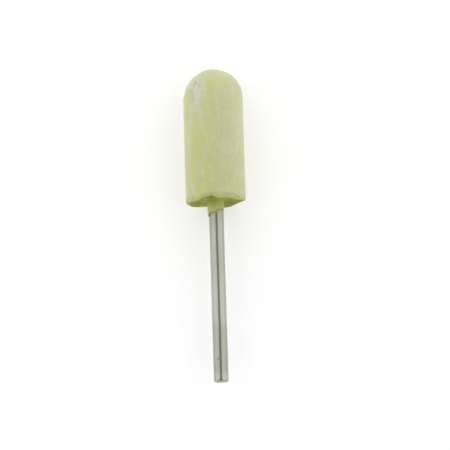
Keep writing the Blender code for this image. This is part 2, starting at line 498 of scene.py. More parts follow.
def shape_collar(tree, geometry, size):
    here = place_fields(tree)
    wall = here.radius - size["Bore radius"]
    below = (size["Base"] - here.y) / size["Collar length"]
    on_tube = wall.math("LESS_THAN", size["Collar wall"] * WALL_SLACK)
    tear = noise(tree, here.point, seed=SEED, **COLLAR_TEAR_GRAIN) - 0.5
    torn = (here.x / size["Tear width"] + tear).ramp(*COLLAR_TEAR_EDGE)
    torn = torn.most(here.x.ramp(*COLLAR_LEFT_STRIP)) * size["Torn off"]
    lift = (torn - here.x.ramp(*COLLAR_LEFT_FLAP)) * below.most(0.0) * on_tube
    near = (wall - size["Collar wall"] - size["Collar fillet"]).math("LESS_THAN", 0.0)
    low = (here.y - size["Base"] - size["Dish depth"]).math("LESS_THAN", 0.0)
    aside = wall.most(0.0).least(size["Collar wall"]) * near * low * -COLLAR_OFF_CENTRE
    return move(tree, geometry, combine(tree, aside, lift, 0.0))


print(f"Torn off by {HEAD_SIZES['Torn off']:.1f} mm, and a flap of {COLLAR_LEFT_FLAP[2]:.2f} mm")

# %% [markdown]
# ### The worn shoulder
# The dome was used on one shoulder, held at a few angles, and that left flats. A flat is a plane,
# given by the way it faces and by how deep it cuts. Every vertex beyond it is moved back onto it,
# which needs no new edges, as a cut would.

# %% The worn flats
WORN_FLATS = (
    ((-0.54, 0.82, 0.16), 0.85),
    ((-0.80, 0.58, 0.12), 0.80),
    ((-0.96, 0.27, 0.08), 0.62),
)
WORN_ROUGHNESS = 0.12
WORN_GRAIN = {"scale": 1.0, "detail": 3.0}
FULLER_TOWARDS = Vector((0.86, 0.50, 0.10)).normalized()
FULLER_BY = 0.08
FULLER_SPREAD = (0.8, 0.97, 0.0, FULLER_BY)
FULLER_ABOVE_SIDE = (0.0, 1.6)


def wear_shoulder(tree, geometry, size):
    """Fills out one shoulder, then cuts the other back to each flat in turn."""
    here = place_fields(tree)
    above_side = here.y - size["Dome centre"]
    from_centre = combine(tree, here.x, above_side, here.z)
    full = vector_math(tree, "DOT_PRODUCT", from_centre, tuple(FULLER_TOWARDS))
    full = (full / size["Head radius"]).ramp(*FULLER_SPREAD)
    full = full * above_side.ramp(*FULLER_ABOVE_SIDE)
    geometry = move(tree, geometry, scaled(tree, tuple(FULLER_TOWARDS), full))
    rough = noise(tree, here.point, seed=SEED, **WORN_GRAIN) * WORN_ROUGHNESS
    for towards, share in WORN_FLATS:
        facing = Vector(towards).normalized()
        out = vector_math(tree, "DOT_PRODUCT", from_centre, tuple(facing))
        past = out - size["Head radius"] + size["Worn depth"] * share + rough - WORN_ROUGHNESS / 2
        geometry = move(tree, geometry, scaled(tree, tuple(-facing), past.most(0.0)))
    return geometry


deepest = HEAD_SIZES["Worn depth"] * max(share for _, share in WORN_FLATS)
print(f"{len(WORN_FLATS)} worn flats, the deepest {deepest:.2f} mm")

# %% [markdown]
# ### Hollows and stains
# The photographed side of the head carries marks of its own: fissures and pits in the rubber,
# places where the pale bloom is rubbed off down to the yellow rubber, places worn to a grey scuff
# or stained greener, and one long pale strip along the right side that is painted light. Each
# mark is a soft ellipse, placed as it is seen from above: millimetres right of the axis, and
# millimetres from the base towards the tip. A table of marks is easy to read and to correct,
# which a painted picture of them would not be.

# %% Lists of marks
# Each row: across, along, half width, half length, amount from 0 to 1, turn in degrees.
HOLLOWS = (
    (-3.26, 16.3, 0.065, 1.40, 0.85, 1),
    (-2.80, 18.6, 0.22, 0.30, 1.00, -30),
    (-2.55, 19.2, 0.16, 0.28, 0.60, 20),
    (-2.35, 18.3, 0.14, 0.30, 0.80, 0),
    (-2.62, 18.9, 0.12, 0.30, 0.90, 15),
    (-2.15, 17.9, 0.10, 0.45, 0.60, -15),
    (-2.90, 18.0, 0.22, 0.15, 0.45, 30),
    (-2.02, 18.1, 0.13, 0.34, 0.60, -10),
    (-3.60, 17.45, 0.50, 0.15, 0.70, 20),
    (-1.98, 17.3, 0.08, 1.10, 0.35, 0),
    (1.24, 15.6, 0.24, 0.24, 0.38, 0),
    (3.70, 16.1, 0.26, 0.26, 0.25, 0),
    (-1.70, 6.2, 0.34, 0.22, 0.35, 20),
    (1.34, 6.3, 0.42, 0.16, 0.25, -10),
    (2.53, 6.1, 0.34, 0.22, 0.25, 20),
    (2.85, 8.8, 0.10, 0.80, 0.35, 0),
    (2.30, 3.6, 0.11, 1.40, 0.40, 0),
    (1.93, 19.5, 0.14, 0.20, 0.30, 0),
    (-3.55, 0.60, 0.10, 0.42, 1.00, -15),
    (-3.72, -0.2, 0.15, 0.35, 0.90, -25),
    (-0.75, 0.10, 0.30, 0.35, 0.80, 0),
    (1.90, 0.56, 0.55, 0.13, 0.85, -4),
    (2.75, 0.70, 0.35, 0.11, 0.70, 8),
    (3.45, 0.46, 0.45, 0.14, 0.90, -8),
)
RUBBED = (
    (-1.4, 19.6, 0.65, 0.35, 0.55, 0),
    (-0.6, 17.6, 0.42, 1.00, 0.60, 0),
    (-1.0, 15.5, 0.50, 1.00, 0.35, 0),
    (-0.5, 14.3, 0.40, 0.90, 0.50, 0),
    (-0.2, 11.6, 0.80, 0.50, 0.30, 0),
    (-2.7, 12.1, 0.40, 0.70, 0.60, 0),
    (-2.75, 11.2, 0.42, 1.50, 1.00, 0),
    (-2.7, 8.4, 0.65, 2.00, 0.80, 0),
    (-1.7, 9.1, 0.50, 1.40, 0.50, 0),
    (-3.2, 5.5, 0.65, 1.70, 0.68, 0),
    (-3.6, 3.5, 0.48, 1.60, 0.70, 0),
    (-1.3, 4.9, 0.50, 1.30, 0.55, 0),
    (-1.2, 2.8, 0.42, 1.20, 0.95, 0),
    (-1.8, 1.3, 0.80, 0.90, 0.75, 0),
    (-2.9, 0.7, 0.38, 1.00, 0.95, 0),
    (-4.3, 13.2, 0.25, 1.60, 0.35, 0),
    (-4.1, 16.3, 0.35, 0.90, 0.35, 0),
    (1.5, 14.2, 0.60, 0.80, 0.15, 0),
    (3.4, 14.8, 0.40, 1.30, 0.25, 0),
    (3.0, 18.2, 0.90, 0.80, 0.25, 0),
    (1.3, 18.4, 2.40, 1.30, 0.30, 0),
    (3.2, 2.6, 0.50, 1.40, 0.40, 0),
    (2.7, -0.1, 1.30, 0.30, 0.40, 0),
)
SCUFF_MARKS_AND_PAINTED_LIGHT = (
    (-2.6, 19.0, 0.75, 0.80, 0.80, 20),
    (-2.6, 16.7, 0.78, 2.30, 1.00, 0),
    (-1.6, 17.4, 0.50, 1.50, 0.65, 0),
    (-3.9, 18.0, 0.65, 1.20, 0.80, -25),
    (-2.1, 14.2, 0.50, 1.60, 0.45, 0),
    (-2.15, 12.7, 0.32, 0.80, 0.60, 0),
    (-2.8, 14.3, 0.45, 1.20, 0.45, 0),
    (-1.5, 7.0, 0.50, 1.30, 0.34, 0),
    (-0.7, 7.8, 0.50, 1.30, 0.20, 0),
    (-3.7, 13.0, 0.26, 2.30, 0.65, 0),
    (-4.6, 13.8, 0.25, 2.60, 0.55, 0),
    (-4.1, 7.9, 0.33, 3.00, 0.50, 0),
    (-0.3, 9.1, 0.48, 0.60, 0.38, -40),
    (-2.0, 4.0, 0.33, 0.80, 0.50, 0),
    (-3.7, 1.6, 0.32, 0.80, 0.60, 0),
    (-4.4, 0.8, 0.35, 1.00, 0.40, 0),
    (3.9, 4.0, 0.60, 1.00, 0.40, 0),
    (0.1, 16.3, 0.45, 0.95, 0.30, 0),
    (0.5, 18.4, 0.60, 0.50, 0.30, 0),
    (2.9, 17.1, 1.00, 0.85, 0.22, 0),
    (1.9, 7.3, 1.60, 2.80, 0.12, 0),
    # Painted light: this long strip lightens the right edge of the head, standing in for the light
    # there.
    (4.0, 6.5, 0.45, 7.00, 0.32, 0),
    (1.1, 1.3, 1.60, 0.45, 0.40, 0),
)
GREENISH = (
    (-0.1, 14.4, 0.60, 1.20, 0.60, 0),
    (0.15, 13.3, 0.42, 1.10, 1.00, 0),
    (-0.9, 12.6, 0.80, 0.45, 0.55, 0),
    (-1.5, 6.5, 0.65, 1.10, 0.22, 0),
    (-1.3, 3.6, 0.45, 1.80, 0.45, 0),
    (-2.4, 8.6, 0.80, 2.20, 0.42, 0),
    (-3.2, 4.8, 0.60, 2.00, 0.42, 0),
    (-0.1, 17.4, 0.90, 2.00, 0.50, 0),
    (-1.9, 15.3, 0.40, 0.90, 0.35, 0),
    (-2.0, 4.9, 0.60, 1.00, 0.35, 0),
    (-2.5, 3.0, 0.50, 1.10, 0.60, 0),
    (-0.5, 1.1, 0.75, 0.90, 0.90, 0),
    (1.3, 1.4, 1.60, 0.42, 0.35, 0),
)
print(f"{len(HOLLOWS)} hollows, {len(RUBBED)} rubbed, {len(SCUFF_MARKS_AND_PAINTED_LIGHT)} scuffed and", end=" ")
print(f"{len(GREENISH)} greenish places")

# %% [markdown]
# The tree turns each list into one value per vertex. Hollows push the vertices in, and all lists
# are stored for the material, so that a stain and the dent under it can't drift apart. Noise
# makes the edges of the stains wander. The other side gets its pits and dents from noise alone.

# %% From the lists to the head
HOLLOW_DEPTH = 0.12
DENT_DEPTH = 0.035
DENT_GRAIN = {"scale": 0.55, "detail": 3.0, "roughness": 0.6}
DENT_LEVELS = (0.45, 0.8)
PIT_SPACING = 1.1
PIT_PROFILE = (0.02, 0.16, 0.6, 0.0)
PIT_GROUPS = (0.54, 0.6)
PIT_GROUP_GRAIN = {"scale": 0.5}
PITS_FROM_BASE = (0.3, 1.0)
MARK_PROFILE = (0.0, 1.7)
SEEN_SIDE = (-0.8, 0.8)
NEAR_RIM = (0.2, 0.95, 1.0, 0.0)
WANDER_ACROSS = 1.1
WANDER_ALONG = 2.0
WANDER_ACROSS_GRAIN = {"scale": 1.1, "detail": 5.0, "roughness": 0.7}
WANDER_ALONG_GRAIN = {"scale": 0.9, "detail": 5.0, "roughness": 0.7}
SKIN_ON_SIDE = (HEAD_RADIUS / MM - 0.25, HEAD_RADIUS / MM - 0.02)
SKIN_ABOVE_RIM = (1.0, 1.2)
SKIN_OVER_LEFT_RIM = (-4.35, -3.95, 1.0, 0.0)
COLLAR_SLACK = 1.5
ABOVE_BORE = (15.2, 15.4)
LEAST_SKIN = 0.5


def marks(tree, x, along, seen_side, places):
    """The strongest of a list of soft ellipses, on the side that is seen from above."""
    place = combine(tree, x, along, 0.0)
    total = None
    for across, up, wide, long, amount, degrees in places:
        turn = radians(degrees)
        off = vector_math(tree, "SUBTRACT", place, (across, up, 0.0))
        u = vector_math(tree, "DOT_PRODUCT", off, (cos(turn) / wide, sin(turn) / wide, 0.0))
        v = vector_math(tree, "DOT_PRODUCT", off, (-sin(turn) / long, cos(turn) / long, 0.0))
        spot = (u * u + v * v).ramp(*MARK_PROFILE, amount, 0.0)
        total = spot if total is None else total.most(spot)
    return total * seen_side


def named_value(tree, name):
    return Field(tree, add_node(tree, "GeometryNodeInputNamedAttribute", {"Name": name}).outputs[0])


def mark_head(tree, geometry, size):
    here = place_fields(tree)
    along = here.y - size["Base"]
    wander_x = (noise(tree, here.point, seed=SEED + 1, **WANDER_ACROSS_GRAIN) - 0.5) * WANDER_ACROSS
    wander_y = (noise(tree, here.point, seed=SEED + 2, **WANDER_ALONG_GRAIN) - 0.5) * WANDER_ALONG
    seen_side = here.z.ramp(*SEEN_SIDE)
    wavy = (here.x + wander_x, along + wander_y, seen_side)
    skin = here.radius.ramp(*SKIN_ON_SIDE).most(along.ramp(*SKIN_ABOVE_RIM))
    skin = skin.most(here.x.ramp(*SKIN_OVER_LEFT_RIM))
    from_collar = here.radius - size["Bore radius"] - size["Collar wall"] * COLLAR_SLACK
    outside = from_collar.math("GREATER_THAN", 0.0).most(along.ramp(*ABOVE_BORE))
    cells = add_node(tree, "ShaderNodeTexVoronoi", {"Vector": here.point, "Scale": 1 / PIT_SPACING})
    pit = Field(tree, cells.outputs["Distance"]).ramp(*PIT_PROFILE)
    grouped = noise(tree, here.point, seed=SEED + 3, **PIT_GROUP_GRAIN).ramp(*PIT_GROUPS)
    hollow = marks(tree, here.x, along, seen_side, HOLLOWS)
    hollow = hollow.most(pit * grouped * along.ramp(*PITS_FROM_BASE)) * outside
    for name, value in (
        ("skin", skin * outside),
        ("near_rim", along.ramp(*NEAR_RIM)),
        ("hollow", hollow),
        ("rubbed", marks(tree, *wavy, RUBBED)),
        ("scuffs_and_painted_light", marks(tree, *wavy, SCUFF_MARKS_AND_PAINTED_LIGHT)),
        ("greenish", marks(tree, *wavy, GREENISH)),
    ):
        geometry = store(tree, geometry, name, value)
    return geometry


def dent_head(tree, geometry, size):
    point = place_fields(tree).point
    dents = noise(tree, point, seed=SEED + 4, **DENT_GRAIN).ramp(*DENT_LEVELS)
    depth = named_value(tree, "hollow") * HOLLOW_DEPTH
    depth = depth + named_value(tree, "skin") * dents * DENT_DEPTH
    normal = tree.nodes.new("GeometryNodeInputNormal").outputs[0]
    return move(tree, geometry, scaled(tree, normal, depth * -1.0))


def make_head_tree():
    tree, source, size = new_geometry_tree("mould_and_wear", HEAD_SIZES)
    geometry = source.outputs[0]
    for step in (mark_head, shape_rim, shape_collar, wear_shoulder, dent_head):
        geometry = step(tree, geometry, size)
    end_tree(tree, source, geometry, second=named_value(tree, "skin").math("LESS_THAN", LEAST_SKIN))
    print(f"The head's tree has {len(tree.nodes)} nodes")
    return tree


head_tree = make_head_tree()

# %% [markdown]
# ## The rubber
# The rubber is yellow-green all through, and a pale chalky bloom of its own filler covers the
# moulded skin. It is thin where the head was rubbed, grey where it was scuffed, and missing on
# the underside and the collar. So there are two materials: the skin with its bloom, and the raw
# rubber without. Both are mixed from a few patterns of noise. A pattern is described once, in a
# table, and a blend says how much of each pattern goes into a value.

# %% Patterns and blends


def new_material(name):
    material = bpy.data.materials.new(name)
    material.use_nodes = True
    tree = material.node_tree
    shader = tree.nodes["Principled BSDF"]
    position = tree.nodes.new("ShaderNodeTexCoord").outputs["Object"]
    point = vector_math(tree, "MULTIPLY", position, (1 / MM, 1 / MM, 1 / MM))
    return material, tree, shader, point


def mix(tree, share, first, second):
    node = add_node(tree, "ShaderNodeMix", {0: share, 6: first, 7: second}, data_type="RGBA")
    return Field(tree, node.outputs[2])


def pattern(tree, point, squeeze=(1.0, 1.0, 1.0), **settings):
    """Noise from 0 to 1. A squeeze below 1 draws it out along that axis."""
    return noise(tree, vector_math(tree, "MULTIPLY", point, squeeze), **settings)


def centred_patterns(tree, point, table):
    """Every pattern of a table, about zero."""
    return {name: pattern(tree, point, **settings) - 0.5 for name, settings in table.items()}


def blend(fields, shares):
    """A sum of fields in the given shares. The share called level is added as it is."""
    total = None
    for name, share in shares.items():
        part = share if name == "level" else fields[name] * share
        total = part if total is None else total + part
    return total


def stored(tree, name):
    return Field(tree, add_node(tree, "ShaderNodeAttribute", attribute_name=name).outputs["Fac"])


def bump(tree, height, distance, strength):
    inputs = {"Height": height, "Distance": distance, "Strength": strength}
    return add_node(tree, "ShaderNodeBump", inputs).outputs[0]


print("Ready to mix materials")

# %% [markdown]
# ### The skin
# The skin's colour starts from how thick the bloom lies, which grows towards the tip and shrinks
# at the rim. The stains that the head's tree has stored come on top, among them one long pale
# strip along the right side that is painted light. Then come a little light and dark, a painted
# light on the right side, a painted shade in patches along the rim, and last a painted shade in
# the hollows. The bloom scatters light at grazing angles as dust does, which is what the sheen
# is for.

# %% The material of the skin
RAW_RUBBER = (0.465, 0.475, 0.104, 1)
RUBBED_RUBBER = (0.55, 0.565, 0.185, 1)
BLOOM = (0.560, 0.575, 0.315, 1)
BLOOM_GREYER = (0.562, 0.564, 0.350, 1)
SCUFF_GREY_AND_PAINTED_LIGHT = (0.60, 0.61, 0.485, 1)
GREEN_STAIN = (0.47, 0.52, 0.21, 1)
# Painted shade: the colour that the hollows are darkened towards.
HOLLOW_SHADE = (0.30, 0.33, 0.20, 1)
STAINS = (
    ("rubbed", RUBBED_RUBBER, 0.75),
    ("scuffs_and_painted_light", SCUFF_GREY_AND_PAINTED_LIGHT, 0.8),
    ("greenish", GREEN_STAIN, 0.6),
)
THICKEST_STAIN = 0.9
SKIN_PATTERNS = {
    "blotches": {"squeeze": (1.0, 0.6, 1.0), "scale": 0.5, "detail": 4.0, "seed": SEED},
    "streaks": {"squeeze": (1.0, 0.22, 1.0), "scale": 1.1, "detail": 4.0, "seed": SEED + 5},
    "mottle": {"scale": 2.2, "detail": 4.0, "roughness": 0.6, "seed": SEED + 6},
    "grain": {"scale": 9.0, "detail": 3.0, "roughness": 0.7, "seed": SEED + 7},
}
BLOOM_THICKNESS = {"blotches": 0.6, "streaks": 0.5, "mottle": 0.3, "grain": 0.25, "level": 0.68}
BLOOM_TOWARDS_TIP = (0.0, 20.0, 0.0, 0.26)
BLOOM_LOST_AT_RIM = 0.35
BLOOM_WITH_SKIN = (0.4, 0.9)
GREYER_SIDE = (-1.2, 0.8)
GREYER_SIDE_WAVERS = 2.0
GREYER_SIDE_AT_TIP = (15.5, 18.5, 0.0, 2.2)
PATCHES = {"mottle": 2.4, "streaks": 1.6, "level": 1.0}
LIGHT_AND_DARK = {"mottle": 0.2, "blotches": 0.12}
LIGHTER_TOWARDS_TIP = (-2.0, 18.0, 0.965, 1.016)
# Painted light along the right side of the head, fading out below the dome.
PAINTED_LIGHT_ON_RIGHT = (2.9, 3.8, 0.0, 0.02)
PAINTED_LIGHT_BELOW_DOME = (12.0, 15.0, 1.0, 0.0)
# Painted shade along the rim, where its rounded edge turns away from the light.
PAINTED_SHADE_AT_RIM = 0.01
PAINTED_SHADE_PATCHES_AT_RIM = 0.09
PAINTED_SHADE_IN_HOLLOWS = (0.1, 1.0, 0.0, 0.48)
SKIN_ROUGHNESS = {"mottle": 0.25, "grain": 0.2, "level": 0.78}
SKIN_BUMP = {"grain": 1.0, "mottle": 0.7}
SKIN_BUMP_HEIGHT = 0.04 * MM
SKIN_BUMP_STRENGTH = 0.6
RUBBER_SPECULAR = 0.3
SKIN_SHEEN = 0.42
SKIN_SHEEN_ROUGHNESS = 0.5
SKIN_SHEEN_TINT = (0.95, 0.97, 1.0, 1)


def make_rubber():
    material, tree, shader, point = new_material("moulded_abrasive_rubber")
    x, y = split(tree, point)[:2]
    fields = centred_patterns(tree, point, SKIN_PATTERNS)
    from_base = y - BASE_Y / MM
    near_rim = stored(tree, "near_rim")
    thickness = blend(fields, BLOOM_THICKNESS) + from_base.ramp(*BLOOM_TOWARDS_TIP)
    thickness = thickness - near_rim * BLOOM_LOST_AT_RIM
    thickness = thickness * stored(tree, "skin").ramp(*BLOOM_WITH_SKIN)
    greyer = x + fields["streaks"] * GREYER_SIDE_WAVERS - from_base.ramp(*GREYER_SIDE_AT_TIP)
    bloom = mix(tree, greyer.ramp(*GREYER_SIDE), BLOOM, BLOOM_GREYER)
    colour = mix(tree, thickness.most(0.0).least(1.0), RAW_RUBBER, bloom)
    patchy = blend(fields, PATCHES)
    for name, stain, strength in STAINS:
        share = (stored(tree, name) * patchy * strength).most(0.0).least(THICKEST_STAIN)
        colour = mix(tree, share, colour, stain)
    light = blend(fields, LIGHT_AND_DARK) + from_base.ramp(*LIGHTER_TOWARDS_TIP)
    # Painted light: the right side of the head is lightened in the colour, standing in for more
    # light there.
    light = light + x.ramp(*PAINTED_LIGHT_ON_RIGHT) * from_base.ramp(*PAINTED_LIGHT_BELOW_DOME)
    # Painted shade: the skin is darkened in patches along the rim.
    light = light - near_rim * (patchy * PAINTED_SHADE_PATCHES_AT_RIM + PAINTED_SHADE_AT_RIM)
    # Painted shade: the hollows are darkened in the colour, as shade would fall in them.
    hollow_shade = stored(tree, "hollow").ramp(*PAINTED_SHADE_IN_HOLLOWS)
    colour = mix(tree, hollow_shade, scaled(tree, colour, light), HOLLOW_SHADE)
    plug(tree, colour, shader.inputs["Base Color"])
    plug(tree, blend(fields, SKIN_ROUGHNESS), shader.inputs["Roughness"])
    shader.inputs["Specular IOR Level"].default_value = RUBBER_SPECULAR
    shader.inputs["Sheen Weight"].default_value = SKIN_SHEEN
    shader.inputs["Sheen Roughness"].default_value = SKIN_SHEEN_ROUGHNESS
    shader.inputs["Sheen Tint"].default_value = SKIN_SHEEN_TINT
    normal = bump(tree, blend(fields, SKIN_BUMP), SKIN_BUMP_HEIGHT, SKIN_BUMP_STRENGTH)
    plug(tree, normal, shader.inputs["Normal"])
    return material


rubber = make_rubber()
print(f"{rubber.name}: {len(rubber.node_tree.nodes)} nodes")

# %% [markdown]
# ### The raw rubber
# The underside is darker away from the collar, darker where the rim shelters it and beside the
# collar, and lighter towards the table: this is painted shade and painted light. The collar is
# paler towards its torn lip, partly where the rubber was drawn out thin along the shank and partly
# as painted light below the head's shade, and paler at both its sides, with streaks where it
# ran. There is no bloom here and so no sheen.

# %% The material of the raw rubber
RAW_RUBBER_DARK = (0.295, 0.305, 0.052, 1)
COLLAR_EDGE = (0.57, 0.59, 0.20, 1)
COLLAR_SIDE = (0.55, 0.59, 0.32, 1)
RAW_PATTERNS = {
    "clouds": {"scale": 1.0, "detail": 4.0, "roughness": 0.6, "seed": SEED + 8},
    "drawn": {
        "squeeze": (1.0, 0.2, 1.0), "scale": 2.2, "detail": 3.0, "roughness": 0.6, "seed": SEED + 9
    },
    "grain": {"scale": 8.0, "detail": 3.0, "roughness": 0.7, "seed": SEED + 7},
}
RAW_TONE = {"clouds": 0.8, "grain": 0.5}
PAINTED_SHADE_AWAY_FROM_COLLAR = (1.5, 2.0, 0.1, 0.9)
PAINTED_SHADE_UNDER_RIM = (1.1, 2.2, 0.0, 0.4)
LIGHTER_ON_LEFT = (-2.5, -0.5, 0.35, 0.0)
PAINTED_LIGHT_NEAR_TABLE = (-4.2, -3.0, 0.3, 0.0)
ON_COLLAR = (1.5, 1.7, 1.0, 0.0)
PALER_AND_PAINTED_LIGHT_TOWARDS_LIP = (0.2, 1.7, 0.0, 0.75)
DRAWN_STREAKS = (0.0, 0.4, 0.0, 1.8)
PALE_SIDES = (0.75, 1.25, 0.0, 0.8)
PALE_SIDES_BELOW = (0.3, 1.2)
PALE_STRIP = (0.1, 0.7)
PALE_STRIP_BELOW = (-0.3, 0.1)
PALE_STRIP_FADES = (0.5, 1.2, 0.7, 0.0)
SHELTER_CENTRE = (-0.5, 1.7)
SHELTER_SIZE = (2.3, 1.3)
SHELTER_SHADE = (0.0, 1.8, 0.32, 0.0)
OFF_COLLAR = (1.37, 1.6)
COLLAR_ROOT_SHADE = (-0.4, -0.05, 0.13, 0.0)
RAW_ROUGHNESS = {"grain": 0.3, "level": 0.72}
RAW_BUMP = {"grain": 1.0, "clouds": 1.0}
RAW_BUMP_HEIGHT = 0.08 * MM
RAW_BUMP_STRENGTH = 0.7


def make_raw_rubber():
    material, tree, shader, point = new_material("raw_abrasive_rubber")
    x, y, z = split(tree, point)
    fields = centred_patterns(tree, point, RAW_PATTERNS)
    from_axis = (x * x + z * z).math("SQRT")
    below = y * -1.0 + BASE_Y / MM
    on_collar = from_axis.ramp(*ON_COLLAR)
    # Painted shade and light: darker away from the collar and under the rim, lighter near the
    # table.
    tone = blend(fields, RAW_TONE) + from_axis.ramp(*PAINTED_SHADE_AWAY_FROM_COLLAR)
    tone = tone + z.ramp(*PAINTED_SHADE_UNDER_RIM) - x.ramp(*LIGHTER_ON_LEFT)
    tone = tone - z.ramp(*PAINTED_LIGHT_NEAR_TABLE)
    colour = mix(tree, tone.ramp(0.0, 1.0), RAW_RUBBER, RAW_RUBBER_DARK)
    # Partly painted light: the collar lightens towards its lip as it leaves the head's shade; its
    # thin lip is paler too.
    pale = below.ramp(*PALER_AND_PAINTED_LIGHT_TOWARDS_LIP) + fields["drawn"] * below.ramp(*DRAWN_STREAKS)
    colour = mix(tree, pale.most(0.0).least(1.0) * on_collar, colour, COLLAR_EDGE)
    side = x.math("ABSOLUTE").ramp(*PALE_SIDES) * below.ramp(*PALE_SIDES_BELOW)
    colour = mix(tree, side * on_collar, colour, COLLAR_SIDE)
    strip = x.ramp(*PALE_STRIP) * below.ramp(*PALE_STRIP_BELOW) * below.ramp(*PALE_STRIP_FADES)
    colour = mix(tree, strip * on_collar, colour, COLLAR_EDGE)
    # Painted shade in the shelter of the rim beside the collar, and at the collar's root.
    aside = (x - SHELTER_CENTRE[0]) / SHELTER_SIZE[0]
    above = (z - SHELTER_CENTRE[1]) / SHELTER_SIZE[1]
    shade = (aside * aside + above * above).ramp(*SHELTER_SHADE) * from_axis.ramp(*OFF_COLLAR)
    shade = shade + below.ramp(*COLLAR_ROOT_SHADE) * on_collar
    plug(tree, scaled(tree, colour, shade * -1.0 + 1.0), shader.inputs["Base Color"])
    plug(tree, blend(fields, RAW_ROUGHNESS), shader.inputs["Roughness"])
    shader.inputs["Specular IOR Level"].default_value = RUBBER_SPECULAR
    normal = bump(tree, blend(fields, RAW_BUMP), RAW_BUMP_HEIGHT, RAW_BUMP_STRENGTH)
    plug(tree, normal, shader.inputs["Normal"])
    return material


raw_rubber = make_raw_rubber()
print(f"{raw_rubber.name}: {len(raw_rubber.node_tree.nodes)} nodes")

# %% [markdown]
# ## The head itself
# The outline becomes an object, the two trees are put on it in order, and the result is kept as
# a plain mesh. It stands for the frame's own head, which stays behind it for the physics.

# %% Make the head
HEAD_SEGMENTS = 240

head = outline_object("moulded_head", head_outline())
add_tree(head, turning_tree, {"Segments": float(HEAD_SEGMENTS), "Material": rubber})
add_tree(head, head_tree, {**HEAD_SIZES, "Material": rubber, "Second material": raw_rubber})
plain_mesh(head)
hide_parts("polishing_head")
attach(head, "root")

# %% [markdown]
# ## The shank
# The shank is one rod of steel, ground between wheels, so its only shape is a rounded free end
# and the grip inside the rubber, with grooves that the rubber has filled. The same turning tree
# makes it from its own outline. The frame's rod has the right shape too, but its long flat
# facets would break up the narrow reflections that a polished rod lives by.

# %% Draw the shank's outline
SHANK_END_ROUNDING = 0.3 * MM
GRIP_CHAMFER = 0.3 * MM
GROOVE_PITCH = 2.4 * MM
GROOVE_WIDTH = 1.1 * MM
GROOVE_DEPTH = 0.22 * MM
GROOVE_FROM_TIP = 1.5 * MM
GROOVE_COUNT = 4
SHANK_STEP = 0.5 * MM


def shank_outline():
    """From the middle of the free end, past the grooves one by one, to the middle of the other."""
    corner = (SHANK_RADIUS - SHANK_END_ROUNDING, SHANK_END_ROUNDING)
    outline = [(0.0, 0.0), *arc(corner, SHANK_END_ROUNDING, -90, 0, STEP / 2)]
    floor = SHANK_RADIUS - GROOVE_DEPTH
    for i in reversed(range(GROOVE_COUNT)):
        end = SHANK_LENGTH - GROOVE_FROM_TIP - i * GROOVE_PITCH
        start = end - GROOVE_WIDTH
        outline += run(outline[-1], (SHANK_RADIUS, start), SHANK_STEP)[1:] + [
            (SHANK_RADIUS, start),
            (floor, start + GROOVE_DEPTH),
            (floor, end - GROOVE_DEPTH),
            (SHANK_RADIUS, end),
        ]
    return outline + [
        (SHANK_RADIUS, SHANK_LENGTH - GRIP_CHAMFER),
        (SHANK_RADIUS - GRIP_CHAMFER, SHANK_LENGTH),
        (0.0, SHANK_LENGTH),
    ]


print(f"The shank's outline has {len(shank_outline())} points and {GROOVE_COUNT} grooves")

# %% [markdown]
# ## The steel
# Ground steel isn't a mirror: the wheel leaves fine rings round the rod, and they blur what it
# reflects along its length. Rings of noise, squeezed along the rod, go into the roughness, the
# colour and a very small bump. The tool has been used, too: the grip of the handpiece dulled the
# steel near its free end, grime darkens it towards the head, and a film of rubber still clings to
# it next to the collar. Some dark marks on top are smudges, two are a painted shadow under the
# collar's torn lip, and the dark spot at the free end is a painted reflection of the dark gap
# overhead.

# %% The material of the shank
STEEL = (0.430, 0.440, 0.378, 1)
STEEL_WORN = (0.33, 0.34, 0.285, 1)
STEEL_END = (0.37, 0.375, 0.335, 1)
STEEL_GRIME = (0.26, 0.27, 0.18, 1)
RUBBER_FILM = (0.36, 0.38, 0.16, 1)
SMUDGE_SHADOW_AND_REFLECTION = (0.16, 0.17, 0.12, 1)
SHANK_SMUDGES_SHADOWS_AND_REFLECTION = (
    (-0.38, 3.57, 0.24, 0.20, 0.60, 0),
    # Painted reflection: the dark gap overhead, as the rounded free end would mirror it.
    (-0.07, 0.17, 0.24, 0.22, 0.90, 0),
    (-0.40, 2.6, 0.10, 1.10, 0.15, 0),
    (-0.70, 9.0, 0.12, 1.60, 0.10, 0),
    # Painted shadow under the collar's torn lip, higher on the right than on the left.
    (0.65, 27.50, 0.55, 0.13, 0.70, 0),
    (-0.50, 27.10, 0.36, 0.16, 0.75, 0),
)
STEEL_PATTERNS = {
    "rings": {
        "squeeze": (0.25, 6.0, 0.25), "scale": 2.5, "detail": 4.0, "roughness": 0.7, "seed": SEED
    },
    "cloud": {"squeeze": (1.0, 0.3, 1.0), "scale": 1.2, "detail": 3.0, "seed": SEED + 1},
    "scratch": {"squeeze": (1.0, 0.04, 1.0), "scale": 9.0, "seed": SEED + 2},
    "stripes": {"squeeze": (1.0, 0.03, 1.0), "scale": 3.0, "roughness": 0.6, "seed": SEED + 3},
}
SCRATCHES = (0.62, 0.72)
STEEL_TONE = {"rings": 0.5, "cloud": 0.7, "stripes": 1.2}
DULLED_FROM_END = (0.6, 1.8, 0.18, 0.60)
DULLED_UP_TO = (8.0, 10.5, 0.0, 0.52)
DULLED_TOWARDS_HEAD = (15.0, 19.0, 0.0, 0.3)
END_FACE = (0.02, 0.32, 1.0, 0.0)
END_FACE_SHARE = 0.8
DARK_MARKS_ON_TOP = (0.6, 0.85)
DARK_MARKS_OFF_END_FACE = (0.03, 0.14)
FILM_WAVERS = 1.2
FILM_SLANT = 0.3
FILM_EDGE = (head_low.y / MM - 0.5, head_low.y / MM + 0.3)
FILM_ON_LEFT = (-0.6, 0.6, 1.0, 0.35)
FILM_ON_RIGHT = (0.75, 1.05, 0.0, 0.8)
